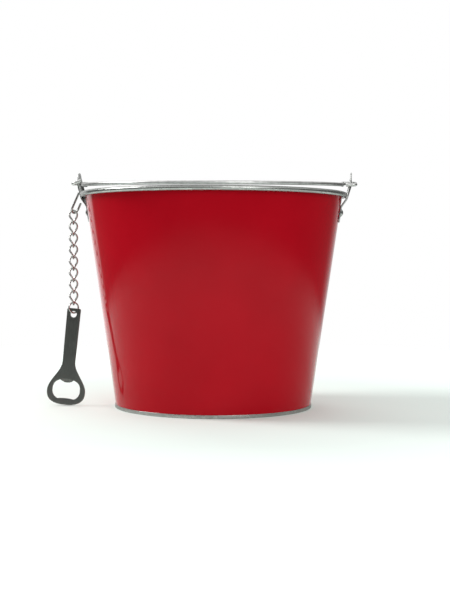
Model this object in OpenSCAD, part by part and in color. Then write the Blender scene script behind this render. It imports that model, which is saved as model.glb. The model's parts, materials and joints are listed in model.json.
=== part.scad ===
// Small sheet-steel party bucket with a swinging wire bail and a bottle opener hung on a chain.
// Millimetres, +Z up. The origin is on the bucket's axis, on the surface that it stands on.
// The ears lie on the X axis, the bail rests on the front (-Y) rim, and the chain hangs at -X.

/* [Bucket] */
// Height from the floor to the top of the rim bead
bucket_h = 184.8; // [184.8:0.4:190]
// Outside diameter over the rim bead
rim_d = 230; // [228:0.5:234]
// Outside diameter of the painted wall where it meets the base hoop
base_d = 169.4; // [164:0.5:172]
// Thickness of the wall sheet
sheet_t = 0.5; // [0.4:0.05:0.6]

/* [Rim and base] */
// Diameter of the rolled rim bead
bead_d = 4.2; // [4:0.1:4.4]
// Height of the bare hoop seamed round the bottom edge
hoop_h = 2.9; // [2.4:0.1:3.4]
// Height of the bottom pan above the floor
pan_z = 5; // [4.4:0.1:8]

/* [Ears] */
// Thickness of the stamped ear plates
ear_t = 1.1; // [1:0.05:1.3]
// Height of the bail pivot above the rim's top
pivot_rise = 8.1; // [7.9:0.1:8.5]
// Radius of the rounded top of an ear
ear_head_r = 6.6; // [6.2:0.1:6.8]
// Half of the ear foot's width along the wall
ear_foot_half = 12.5; // [11:0.25:13.5]
// Height of the ear foot's lower edge below the rim's top
ear_drop = 25.4; // [25:0.2:26.5]
// Diameter of a rivet's domed head
rivet_d = 6.6; // [6:0.1:7]

/* [Bail] */
// Diameter of the bail wire
bail_d = 3; // [2.8:0.1:3.2]
// Gap left between the resting bail and the rim bead
bail_gap = 0.3; // [0.25:0.05:0.5]

/* [Chain] */
// Distance from one curb link to the next
link_pitch = 10.05; // [9.9:0.05:10.1]
// Outside width of a curb link
link_w = 9.2; // [8.8:0.1:9.4]
// Wire diameter of a curb link
link_d = 1.6; // [1.5:0.05:1.7]
// Wire diameter of the hook that joins the chain to the ear
hook_d = 1.8; // [1.6:0.05:1.9]
// Outside diameter of the ring that carries the opener
ring_od = 10.4; // [10:0.1:10.8]

/* [Opener] */
// Length of the bottle opener
opener_l = 84.2; // [83:0.2:84.4]
// Thickness of the opener plate
opener_t = 1.6; // [1.4:0.05:1.7]
// Width of the opener's head
opener_head_w = 33.6; // [32:0.2:35]
// Lean of the hanging opener, bottom edge outwards, in degrees
opener_lean = 5; // [3:0.5:6]

/* [Hidden] */
$fn = 96;
slack = 0.05;               // gap between faces of pieces fixed together
links = 8;
joint_gap = 0.06;           // gap between two stretches of wire, closed by a knuckle
knuckle_rise = 0.03;        // how far a knuckle stands above the wire

// Rim bead, wall and pivot
bead_r = bead_d / 2;
bead_x = rim_d / 2 - bead_r;
bead_z = bucket_h - bead_r;
wall_top_r = bead_x - bead_r - slack;
wall_slope = (wall_top_r - base_d / 2) / (bead_z - hoop_h);
wall_lean = atan(wall_slope);
wall_lip = 1;               // how far the wall's edge rises past the bead's centre
pivot_z = bucket_h + pivot_rise;
function wall_r(z) = base_d / 2 + (z - hoop_h) * wall_slope;

// Rim hoop: a tube rolled round a wire, with a lip folded over the wall's edge
hoop_t = 0.45;
rim_wire_r = bead_r - hoop_t - slack;
lip_t = 0.4;
lip_rise = 1.5;
lip_drop = 5;

// Base hoop: a channel that holds the wall's edge and the pan's flange
channel_t = 0.5;
channel_floor = 0.6;
pan_t = 0.6;
pan_flange_r = base_d / 2 - sheet_t - 0.5;
seam_w = 3.2;               // width of the wall's lock seam, in degrees of turn
seam_t = 0.6;

// Ear: inner face of its bent section, from the foot to the head
ear_foot_z = bucket_h - ear_drop;
ear_bend_z = bucket_h - 12.3;
ear_head_z = pivot_z + 2.7;
ear_top_z = ear_head_z + ear_head_r;
ear_upright_r = rim_d / 2 + 2.5;
ear_section = [
    [wall_r(ear_foot_z) + slack, ear_foot_z],
    [wall_r(ear_bend_z) + slack, ear_bend_z],
    [bead_x - 0.3, bead_z - 5.5],
    [bead_x + 0.9, bead_z - 4.1],
    [rim_d / 2 + 0.2, bead_z],
    [ear_upright_r, pivot_z - 2.4],
    [ear_upright_r, ear_top_z + 1]
];
ear_shoulder_z = bead_z - 3.2;
bail_hole_r = bail_d / 2 + 0.35;
hook_hole_r = hook_d / 2 + 0.6;
hook_hole_y = -5.5;
hook_hole_z = pivot_z - 7.2;
ear_in_at_hole = lookup(hook_hole_z, [for (p = ear_section) [p[1], p[0]]]);

// Rivets: two through each ear's foot
rivet_z = ear_foot_z + 8.1;
rivet_turn = 3.2;
rivet_shank_r = 1.5;
rivet_h = 1.8;

// Bail: a broad arc, two straight legs with a small step, and a loop round each ear
bail_r = bail_d / 2;
bail_step = 1.6;
bail_arc_r = bead_x;
bail_arc_half = 76;
shoulder_r = 30;
leg_x = (bail_arc_r - shoulder_r) * sin(bail_arc_half) + shoulder_r;
leg_y = -(bail_arc_r - shoulder_r) * cos(bail_arc_half);
step_bend_r = 6;
step_turn = acos(1 - bail_step / (2 * step_bend_r));
step_run = 2 * step_bend_r * sin(step_turn);
corner_r = 3;
loop_r = 2.4;
loop_reach = 11.5;
loop_x = rim_d / 2 + 4.2;
tail_x = leg_x + bail_d + bail_gap;
bar_rise = 0.04;            // how far the pivot bar stands above the wire
bail_rest_z = bucket_h + bail_r + bail_gap;
bail_droop = asin((pivot_z - bail_rest_z - bail_step) / bail_arc_r);

// Hook: an open top bend through the ear, a straight body and a closed lower eye
hook_r = hook_d / 2;
hook_bend_r = 1.8;
hook_x = -(ear_in_at_hole + ear_t / 2 - 0.85);
hook_z = hook_hole_z - 0.15 - hook_bend_r;
hook_open = 56;
hook_lean = 24;
hook_body = 13.7;
eye_r = 4;
eye_turn = 64;
eye_tail = 6;

// Curb chain: every link is an oval twisted by a quarter turn
link_r = link_d / 2;
link_gap = 0.2;
link_half_w = (link_w - link_d) / 2;
link_half_l = (link_pitch + link_d + link_gap) / 2;
chain_turn = 10;
chain_lean = -1;
chain_forward = 4;
// Middle of the hook eye's lowest wire, worked out through the hook's own turns
eye_drop_x = -hook_bend_r * cos(hook_lean) - (hook_body + eye_r) * sin(hook_lean);
eye_drop_z = hook_bend_r * sin(hook_lean) - (hook_body + eye_r) * cos(hook_lean);
chain_x = hook_x + eye_drop_x + eye_r * cos(eye_turn) * cos(hook_lean);
chain_y = hook_hole_y + eye_r * sin(eye_turn);
chain_z = hook_z + eye_drop_z - eye_r * cos(eye_turn) * sin(hook_lean);
first_lift = hook_r + link_r + link_gap;

// Ring and opener
ring_r = 0.7;
ring_mid_r = ring_od / 2 - ring_r;
ring_turn = 40;
ring_lift = link_r + ring_r + link_gap;
ring_drop = links * link_pitch - first_lift - ring_lift + 2 * link_r + link_gap + ring_mid_r;
opener_hole_r = 2.7;
opener_hole_down = 5.3;
ring_play = 0.8;
opener_hole_drop = ring_drop + ring_mid_r - ring_r - ring_play + opener_hole_r;
shank_top_half = 6;
shank_half = 5.6;
shank_end = 47;
head_mid = 72.5;
head_half = opener_head_w / 2;
opening_half = head_half - 4.7;
opening_mid = 71.2;
opening_rise = 9.1;
opening_fall = 8.8;
opening_power = 2.5;
tab_half = 5.6;
tab_reach = 65;
tab_t = 0.9;

// ---- Helpers ----

// Points of an arc about c, from angle a to angle b
function arc(c, r, a, b, n = 16) =
    [for (i = [0:n]) c + r * [cos(a + (b - a) * i / n), sin(a + (b - a) * i / n)]];

function unit(v) = v / norm(v);
function right_of(v) = [v[1], -v[0]];

// One point of a path moved sideways by t, mitred between the two stretches that meet there
function mitred(path, i, t) =
    let (
        last = len(path) - 1,
        before = right_of(unit(path[max(i, 1)] - path[max(i, 1) - 1])),
        after = right_of(unit(path[min(i, last - 1) + 1] - path[min(i, last - 1)]))
    )
    path[i] + t * (before + after) / (1 + before * after);

// Closed outline of a strip of thickness t along a path
function strip(path, t) =
    concat(path, [for (i = [len(path) - 1:-1:0]) mitred(path, i, t)]);

// Directions along a path, and a frame carried along it without twist: [along, across] at each point
function along_at(path, i) =
    unit(path[min(i + 1, len(path) - 1)] - path[max(i - 1, 0)]);
function square_to(v, along) = unit(v - (v * along) * along);
function frames(path, first) =
    [for (i = 0, across = square_to(first, along_at(path, 0));
        i < len(path);
        i = i + 1, across = i < len(path) ? square_to(across, along_at(path, i)) : across)
        [along_at(path, i), across]];

// A round wire swept along an open path as one solid
module sweep(path, wire_r, sides, first = [0, 0, 1]) {
    carried = frames(path, first);
    last = len(path) - 1;
    rings = [for (i = [0:last], k = [0:sides - 1])
        let (across = carried[i][1], third = cross(carried[i][0], across), q = 360 * k / sides)
        path[i] + wire_r * (cos(q) * across + sin(q) * third)];
    skin = [for (i = [0:last - 1], k = [0:sides - 1])
        let (m = (k + 1) % sides)
        [i * sides + k, (i + 1) * sides + k, (i + 1) * sides + m, i * sides + m]];
    caps = [[for (k = [0:sides - 1]) k], [for (k = [sides - 1:-1:0]) last * sides + k]];
    polyhedron(rings, concat(skin, caps));
}

// A bend: part of a ring of wire about the Z axis, starting at +X
module bend(radius, wire_r, turn) {
    short = joint_gap / radius * 180 / PI;
    rotate([0, 0, short]) rotate_extrude(angle = turn - 2 * short)
        translate([radius, 0]) circle(r = wire_r, $fn = 48);
}

// A straight stretch of wire along +Z
module wire(wire_r, length) {
    translate([0, 0, joint_gap]) cylinder(r = wire_r, h = length - 2 * joint_gap, $fn = 48);
}

// Joins two stretches of wire that meet at a point
module knuckle(at, wire_r) {
    translate(at) sphere(r = wire_r + knuckle_rise);
}

// ---- Bucket ----

module wall_section() {
    top = bead_z + wall_lip;
    polygon([
        [wall_r(channel_floor), channel_floor],
        [wall_r(top), top],
        [wall_r(top) - sheet_t, top],
        [wall_r(channel_floor) - sheet_t, channel_floor]
    ]);
}

module seam_section() {
    low = hoop_h + 1.5;
    high = bead_z - bead_r - 1.5;
    polygon([
        [wall_r(low) - sheet_t / 2, low],
        [wall_r(low) + seam_t, low],
        [wall_r(high) + seam_t, high],
        [wall_r(high) - sheet_t / 2, high]
    ]);
}

module rivet_places() {
    for (side = [-1, 1])
        rotate([0, 0, side * rivet_turn])
            translate([wall_r(rivet_z), 0, rivet_z]) rotate([0, 90 + wall_lean, 0]) children();
}

module bucket_wall() {
    color([0.62, 0.04, 0.08]) difference() {
        union() {
            rotate_extrude() wall_section();
            rotate([0, 0, 90 - seam_w / 2]) rotate_extrude(angle = seam_w) seam_section();
        }
        for (ear = [0, 180])
            rotate([0, 0, ear]) rivet_places()
                cylinder(r = rivet_shank_r + slack, h = 6, center = true);
    }
}

module rim_hoop() {
    inner_x = wall_r(bead_z) - sheet_t - slack;
    color([0.62, 0.64, 0.62]) {
        rotate_extrude() translate([bead_x, bead_z]) difference() {
            circle(r = bead_r);
            circle(r = bead_r - hoop_t);
        }
        rotate_extrude() polygon(strip([
            [bead_x - 0.8, bead_z + lip_rise],
            [inner_x + 0.45, bead_z + lip_rise],
            [inner_x, bead_z + lip_rise - 0.45],
            [wall_r(bead_z - lip_drop) - sheet_t - slack, bead_z - lip_drop]
        ], lip_t));
    }
}

module rim_wire() {
    color([0.5, 0.5, 0.5]) rotate_extrude() translate([bead_x, bead_z]) circle(r = rim_wire_r);
}

module base_pan() {
    flange_in = pan_flange_r - pan_t;
    color([0.6, 0.62, 0.6]) rotate_extrude() polygon([
        [0, pan_z + 0.8],
        [flange_in * 0.8, pan_z + 0.8],
        [flange_in * 0.86, pan_z - pan_t],
        [flange_in, pan_z - pan_t],
        [flange_in, channel_floor],
        [pan_flange_r, channel_floor],
        [pan_flange_r, pan_z],
        [flange_in * 0.87, pan_z],
        [flange_in * 0.81, pan_z + 0.8 + pan_t],
        [0, pan_z + 0.8 + pan_t]
    ]);
}

module base_hoop() {
    out_r = base_d / 2 + slack + channel_t;
    in_r = pan_flange_r - pan_t - slack;
    color([0.55, 0.57, 0.54]) rotate_extrude() polygon(concat(
        arc([out_r - 0.5, 0.5], 0.5, -90, 0, 6),
        arc([out_r - 0.25, hoop_h - 0.25], 0.25, 0, 90, 4),
        [
            [out_r - channel_t, hoop_h],
            [out_r - channel_t, channel_floor - slack],
            [in_r, channel_floor - slack],
            [in_r, hoop_h + 0.6],
            [in_r - channel_t, hoop_h + 0.6]
        ],
        arc([in_r - channel_t + 0.5, 0.5], 0.5, 180, 270, 6)
    ));
}

// ---- Ears and rivets ----

// Face of the ear, with y across and z up: a round head on a foot that widens downwards
module ear_face() {
    reach = [ear_foot_half, ear_shoulder_z - ear_head_z];
    touch = acos(ear_head_r / norm(reach)) + atan2(reach[1], reach[0]);
    corner = 3;
    polygon(concat(
        arc([0, ear_head_z], ear_head_r, touch, 180 - touch, 32),
        [[-ear_foot_half, ear_shoulder_z]],
        arc([-ear_foot_half + corner, ear_foot_z + corner], corner, 180, 270, 8),
        arc([ear_foot_half - corner, ear_foot_z + corner], corner, 270, 360, 8),
        [[ear_foot_half, ear_shoulder_z]]
    ));
}

module ear() {
    span = 20;
    color([0.6, 0.62, 0.6]) difference() {
        intersection() {
            rotate([0, 0, -span / 2]) rotate_extrude(angle = span)
                polygon(strip(ear_section, ear_t));
            translate([rim_d / 2 - 20, 0, 0]) rotate([90, 0, 90])
                linear_extrude(30) ear_face();
        }
        translate([rim_d / 2, 0, pivot_z]) rotate([0, 90, 0])
            cylinder(r = bail_hole_r, h = 12, center = true);
        translate([rim_d / 2, -hook_hole_y, hook_hole_z]) rotate([0, 90, 0])
            cylinder(r = hook_hole_r, h = 12, center = true);
        rivet_places() cylinder(r = rivet_shank_r + slack, h = 6, center = true);
    }
}

// A rivet along +Z with its shank through the sheet and its set end inside the bucket
module rivet() {
    seat = ear_t + 2 * slack;
    dome_r = (pow(rivet_d / 2, 2) + pow(rivet_h, 2)) / (2 * rivet_h);
    inside = sheet_t + 0.06;
    translate([0, 0, seat]) intersection() {
        translate([0, 0, rivet_h - dome_r]) sphere(r = dome_r);
        cylinder(r = rivet_d, h = rivet_h + 1);
    }
    translate([0, 0, -inside - 0.4]) cylinder(r = rivet_shank_r, h = seat + inside + 0.5);
    translate([0, 0, -inside - 0.8]) cylinder(r = 2.4, h = 0.8);
}

module rivets() {
    color([0.5, 0.52, 0.5]) rivet_places() rivet();
}

module ear_right() { ear(); }
module ear_left() { rotate([0, 0, 180]) ear(); }
module rivets_right() { rivets(); }
module rivets_left() { rotate([0, 0, 180]) rivets(); }

// ---- Bail ----

// Middle line of the bail, drawn with the pivot on the X axis and the ears at its two ends.
// It runs from the middle of the arc to +X: arc, shoulder, straight leg, step, corner, pivot bar.
function bail_half(droop, slant) =
    let (
        step_y = -corner_r - step_run,
        far = loop_r - loop_reach,
        arc_line = [for (p = arc([0, 0], bail_arc_r, -90, bail_arc_half - 90, 28))
            [p[0], p[1], -bail_step]],
        shoulder = [for (p = arc([leg_x - shoulder_r, leg_y], shoulder_r, bail_arc_half - 90, 0, 5))
            [p[0], p[1], -bail_step]],
        rise = [for (p = arc([step_y, step_bend_r - bail_step], step_bend_r, -90, step_turn - 90, 3))
            [leg_x, p[0], p[1]]],
        level = [for (p = arc([-corner_r, -step_bend_r], step_bend_r, step_turn + 90, 90, 3))
            [leg_x, p[0], p[1]]],
        corner = [for (p = arc([leg_x + corner_r, -corner_r], corner_r, 180, 90, 6)) [p[0], p[1], 0]],
        turn_in = [for (p = arc([loop_x, -loop_r], loop_r, 90, 0, 6)) dropped([p[0], p[1], 0], droop)],
        turn_back = [for (p = arc([0, 0], loop_r, 0, -90, 6))
            dropped([loop_x + loop_r, far, 0] + slanted([p[0] - loop_r, p[1], 0], slant), droop)],
        tail = [dropped([loop_x + loop_r, far, 0]
            + slanted([tail_x - loop_x - loop_r, -loop_r, 0], slant), droop)]
    )
    concat(arc_line, tail_of(shoulder), rise, tail_of(level), tail_of(corner), turn_in, turn_back, tail);

function tail_of(list) = [for (i = [1:len(list) - 1]) list[i]];
function reversed(list) = [for (i = [len(list) - 1:-1:0]) list[i]];
function mirrored(list) = [for (p = list) [-p[0], p[1], p[2]]];

// A point turned about the X axis, and a point turned about the Y axis
function dropped(p, turn) =
    [p[0], p[1] * cos(turn) - p[2] * sin(turn), p[1] * sin(turn) + p[2] * cos(turn)];
function slanted(p, turn) =
    [p[0] * cos(turn) + p[2] * sin(turn), p[1], -p[0] * sin(turn) + p[2] * cos(turn)];

module bail_handle() {
    right = bail_half(7, 0);
    left = mirrored(bail_half(1, 18));
    color([0.66, 0.67, 0.66]) translate([0, 0, pivot_z]) rotate([bail_droop, 0, 0]) {
        sweep(concat(reversed(tail_of(left)), right), bail_r, 12);
        // round bars where the bail turns in the ears
        for (side = [0, 180])
            rotate([0, 0, side]) translate([ear_upright_r - 1.2, 0, 0])
                rotate([0, 90, 0]) cylinder(r = bail_r + bar_rise, h = ear_t + 2.4);
    }
}

// ---- Chain ----

// The hook, with its top bend in the XZ plane and its eye turned to face along the ear
module chain_hook() {
    color([0.66, 0.67, 0.66]) translate([hook_x, hook_hole_y, hook_z]) {
        rotate([90, 0, 0]) rotate([0, 0, hook_open])
            bend(hook_bend_r, hook_r, 180 - hook_lean - hook_open);
        rotate([0, hook_lean, 0]) translate([-hook_bend_r, 0, 0]) {
            knuckle([0, 0, 0], hook_r);
            translate([0, 0, -hook_body]) wire(hook_r, hook_body);
            knuckle([0, 0, -hook_body], hook_r);
            translate([0, 0, -hook_body]) rotate([0, 0, eye_turn]) {
                translate([eye_r, 0, 0]) rotate([90, 0, 0]) rotate([0, 0, 180])
                    bend(eye_r, hook_r, 180);
                knuckle([2 * eye_r, 0, 0], hook_r);
                translate([2 * eye_r, 0, 0]) wire(hook_r, eye_tail);
            }
        }
    }
}

function ease(s) = s * s * (3 - 2 * s);

// Middle line of a curb link at angle q: an oval whose plane turns a quarter from top to bottom
function link_twist(q) = 90 * ease((1 - sin(q)) / 2);
function link_point(q) = [
    link_half_w * cos(q) * cos(link_twist(q)),
    link_half_w * cos(q) * sin(link_twist(q)),
    link_half_l * sin(q)
];
function link_out(q) = [
    link_half_l * cos(q) * cos(link_twist(q)),
    link_half_l * cos(q) * sin(link_twist(q)),
    link_half_w * sin(q)
];
function link_ring(q, sides) =
    let (
        along = unit(link_point(q + 1) - link_point(q - 1)),
        outward = link_out(q),
        across = unit(outward - (outward * along) * along),
        third = cross(along, across)
    )
    [for (k = [0:sides - 1])
        link_point(q) + link_r * (cos(360 * k / sides) * across + sin(360 * k / sides) * third)];

// A curb link about its own middle, its top wire along X and its bottom wire along Y
module curb_link() {
    rings = 28;
    sides = 8;
    points = [for (i = [0:rings - 1]) each link_ring(360 * i / rings, sides)];
    faces = [for (i = [0:rings - 1], k = [0:sides - 1])
        let (j = (i + 1) % rings, m = (k + 1) % sides)
        [i * sides + k, j * sides + k, j * sides + m, i * sides + m]];
    polyhedron(points, faces);
}

// Places its children along the hanging chain, a distance below the hook eye's lowest wire
module hung(down) {
    translate([chain_x, chain_y, chain_z])
        rotate([-chain_forward, chain_lean, 0]) translate([0, 0, -down]) children();
}

module chain_link(n) {
    color([0.64, 0.65, 0.64])
        hung((n - 1) * link_pitch - first_lift + link_half_l)
            rotate([0, 0, chain_turn]) curb_link();
}

module opener_ring() {
    color([0.66, 0.67, 0.66]) hung(ring_drop)
        rotate([0, 0, ring_turn]) rotate([90, 0, 0])
            rotate_extrude() translate([ring_mid_r, 0]) circle(r = ring_r, $fn = 32);
}

// ---- Bottle opener ----

// Half-width of the opener at a distance down from its top edge
function opener_half(down) =
    down < shank_end ? shank_top_half + (shank_half - shank_top_half) * down / shank_end
    : down < head_mid
        ? shank_half + (head_half - shank_half) * ease((down - shank_end) / (head_mid - shank_end))
        : head_half * sqrt(max(0, 1 - pow((down - head_mid) / (opener_l - head_mid), 2)));

module opener_outline() {
    steps = 22;
    corner = 1.6;
    flare = [for (i = [0:steps])
        let (down = shank_end + (head_mid - shank_end) * i / steps) [opener_half(down), -down]];
    bowl = [for (i = [1:steps - 1])
        let (q = 90 * i / steps, down = head_mid + (opener_l - head_mid) * sin(q))
        [opener_half(down), -down]];
    half = concat(flare, bowl);
    polygon(concat(
        arc([shank_top_half - corner, -corner], corner, 90, 0, 6),
        half,
        [[0, -opener_l]],
        [for (i = [len(half) - 1:-1:0]) [-half[i][0], half[i][1]]],
        arc([corner - shank_top_half, -corner], corner, 180, 90, 6)
    ));
}

// The cap opening: a full oval with a slightly arched lower edge
module opening_outline() {
    points = 72;
    arch_r = 40;
    difference() {
        polygon([for (i = [0:points - 1])
            let (
                q = 360 * i / points,
                tall = sin(q) > 0 ? opening_rise : opening_fall,
                full = 2 / opening_power
            )
            [sign(cos(q)) * opening_half * pow(abs(cos(q)), full),
             sign(sin(q)) * tall * pow(abs(sin(q)), full) - opening_mid]]);
        translate([0, -(opener_l - 5.8) - arch_r]) circle(r = arch_r, $fn = 180);
    }
}

// The tab that lifts a cap's edge, at the top of the opening
module tab_outline() {
    tab_r = 8.5;
    intersection() {
        translate([0, tab_r - tab_reach]) circle(r = tab_r);
        translate([-tab_half, -tab_reach]) square([2 * tab_half, 6]);
    }
}

module bottle_opener() {
    color([0.3, 0.31, 0.3]) hung(opener_hole_drop) rotate([0, opener_lean - chain_lean, 0])
        translate([0, 0, opener_hole_down]) rotate([90, 0, 0]) {
            difference() {
                linear_extrude(opener_t, center = true) difference() {
                    opener_outline();
                    opening_outline();
                }
                translate([0, -opener_hole_down, 0])
                    cylinder(r = opener_hole_r, h = 4 * opener_t, center = true);
            }
            // set back from the front face
            translate([0, 0, -opener_t / 2]) linear_extrude(tab_t) tab_outline();
        }
}

bucket_wall();
rim_hoop();
rim_wire();
base_pan();
base_hoop();
ear_left();
ear_right();
rivets_left();
rivets_right();
bail_handle();
chain_hook();
chain_link(1);  // chain_link_1
chain_link(2);  // chain_link_2
chain_link(3);  // chain_link_3
chain_link(4);  // chain_link_4
chain_link(5);  // chain_link_5
chain_link(6);  // chain_link_6
chain_link(7);  // chain_link_7
chain_link(8);  // chain_link_8
opener_ring();
bottle_opener();
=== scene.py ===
import json
import math

import bmesh
import bpy
from mathutils import Matrix, Vector
from mathutils.geometry import delaunay_2d_cdt


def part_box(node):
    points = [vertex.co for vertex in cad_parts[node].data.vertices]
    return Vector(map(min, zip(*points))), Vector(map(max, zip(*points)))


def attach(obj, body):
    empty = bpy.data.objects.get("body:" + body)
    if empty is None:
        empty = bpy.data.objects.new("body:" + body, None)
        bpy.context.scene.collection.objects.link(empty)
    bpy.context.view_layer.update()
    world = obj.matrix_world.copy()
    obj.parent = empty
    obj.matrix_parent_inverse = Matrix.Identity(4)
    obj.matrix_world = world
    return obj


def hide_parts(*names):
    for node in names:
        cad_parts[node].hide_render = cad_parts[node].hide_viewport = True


# A red party bucket with a wire bail, and a bottle opener on a curb chain.
# Shapes are worked out in millimetres, and become metres where a mesh is made.
# The camera, the floor and the lights are in metres.

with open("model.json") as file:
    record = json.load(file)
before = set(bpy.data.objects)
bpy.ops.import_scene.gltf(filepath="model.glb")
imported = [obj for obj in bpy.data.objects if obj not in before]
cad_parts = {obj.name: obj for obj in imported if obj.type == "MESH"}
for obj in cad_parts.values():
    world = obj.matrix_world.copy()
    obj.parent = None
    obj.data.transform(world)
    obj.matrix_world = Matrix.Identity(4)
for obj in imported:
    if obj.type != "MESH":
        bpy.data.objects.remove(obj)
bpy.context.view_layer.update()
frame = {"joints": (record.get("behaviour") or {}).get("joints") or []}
MM = 0.001
JOINTS = {joint["name"]: joint for joint in frame["joints"]}


def box(node):
    """Lowest and highest corner of a CAD node, in millimetres."""
    low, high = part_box(node)
    return low / MM, high / MM


def pivot(joint):
    """Where a joint turns, in millimetres."""
    return Vector(JOINTS[joint]["pos_m"]) / MM


def axis(joint):
    return Vector(JOINTS[joint]["axis"]).normalized()


# ---- Sizes, from the frame ----

RIM_TOP = box("rim_hoop")[1].z
RIM_R = box("rim_hoop")[1].x
BEAD_R = 2.1
BEAD_X = RIM_R - BEAD_R
BEAD_Z = RIM_TOP - BEAD_R
SHEET = 0.5
# Play between sheets that are seamed together.
FIT = 0.05
WALL_FOOT_Z = box("bucket_wall")[0].z
WALL_TOP_Z = box("bucket_wall")[1].z
WALL_TOP_R = box("bucket_wall")[1].x
HOOP_R = box("base_hoop")[1].x
HOOP_H = 2.9
BASE_R = HOOP_R - SHEET - FIT
WALL_SLOPE = (WALL_TOP_R - BASE_R) / (WALL_TOP_Z - HOOP_H)
WALL_LEAN = math.atan(WALL_SLOPE)
PIVOT_Z = pivot("bail_swing").z
EAR_TOP = box("ear_right")[1].z
EAR_FOOT = box("ear_right")[0].z
EAR_OUT_X = box("ear_right")[1].x
EAR_T = 1.1
TURNS = 256


def wall_r(z):
    """Radius of the wall's painted face at a height."""
    return BASE_R + (z - HOOP_H) * WALL_SLOPE


# ---- Camera ----

CAMERA_AT = Vector((0.08716, -0.99619, 0.1289))
CAMERA_TURN = math.radians(5 - 0.568)
CAMERA_DIP = math.radians(2.111)
CAMERA_ROLL = math.radians(0.217)
CAMERA_LENS = 69.07
SENSOR_WIDTH = 36


def make_camera():
    """A camera about a metre in front, a little below the rim, that looks slightly down."""
    data = bpy.data.cameras.new("camera")
    data.lens = CAMERA_LENS
    data.sensor_width = SENSOR_WIDTH
    data.clip_start = 0.01
    data.clip_end = 50
    camera = bpy.data.objects.new("camera", data)
    bpy.context.scene.collection.objects.link(camera)
    aimed = Matrix.Rotation(CAMERA_TURN, 4, "Z") @ Matrix.Rotation(math.pi / 2 - CAMERA_DIP, 4, "X")
    camera.matrix_world = Matrix.Translation(CAMERA_AT) @ aimed @ Matrix.Rotation(CAMERA_ROLL, 4, "Z")
    bpy.context.scene.camera = camera


# ---- Materials ----

ENAMEL_DEEP = (0.405, 0.0018, 0.0090)
ENAMEL_LIGHT = (0.44, 0.0024, 0.0105)
ENAMEL_SPECK = (0.34, 0.004, 0.011)
HOOP_ZINC = (0.46, 0.475, 0.455)
INSIDE_ZINC = (0.50, 0.51, 0.50)
PLATE_ZINC = (0.50, 0.51, 0.495)
ZINC_EDGE_TINT = (0.68, 0.68, 0.675, 1)
BAIL_NICKEL = (0.66, 0.665, 0.65)
CHAIN_NICKEL = (0.44, 0.445, 0.43)
STEEL_LIGHT = (0.155, 0.160, 0.150)
STEEL_DULL = (0.125, 0.130, 0.122)
STEEL_LINE = (0.20, 0.205, 0.195)
STEEL_EDGE = (0.34, 0.34, 0.32)
CARD_LIGHT = (0.822, 0.912, 0.868)
CARD_DULL = (0.807, 0.897, 0.853)
WHITE = (1, 1, 1, 1)
# Pointiness at which an edge starts to look worn, and looks fully worn.
EDGE_START = 0.52
EDGE_END = 0.62


def shade(colour, share):
    """A colour made darker or lighter."""
    return tuple(min(1, share * c) for c in colour)


class Nodes:
    """Short calls that add nodes to a node tree."""

    def __init__(self, tree):
        self.nodes = tree.nodes
        self.links = tree.links

    def link(self, source, target):
        self.links.new(source, target)

    def calc(self, operation, first, second):
        """A math node on two values, each a socket or a number."""
        node = self.nodes.new("ShaderNodeMath")
        node.operation = operation
        for socket, value in zip(node.inputs, (first, second)):
            if isinstance(value, (int, float)):
                socket.default_value = value
            else:
                self.link(value, socket)
        return node.outputs["Value"]

    def span(self, value, low, high, start=0.0, end=1.0, curve="LINEAR"):
        """Maps a value from start..end to low..high."""
        node = self.nodes.new("ShaderNodeMapRange")
        node.interpolation_type = curve
        for socket, number in (("From Min", start), ("From Max", end), ("To Min", low), ("To Max", high)):
            node.inputs[socket].default_value = number
        self.link(value, node.inputs["Value"])
        return node.outputs["Result"]


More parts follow.
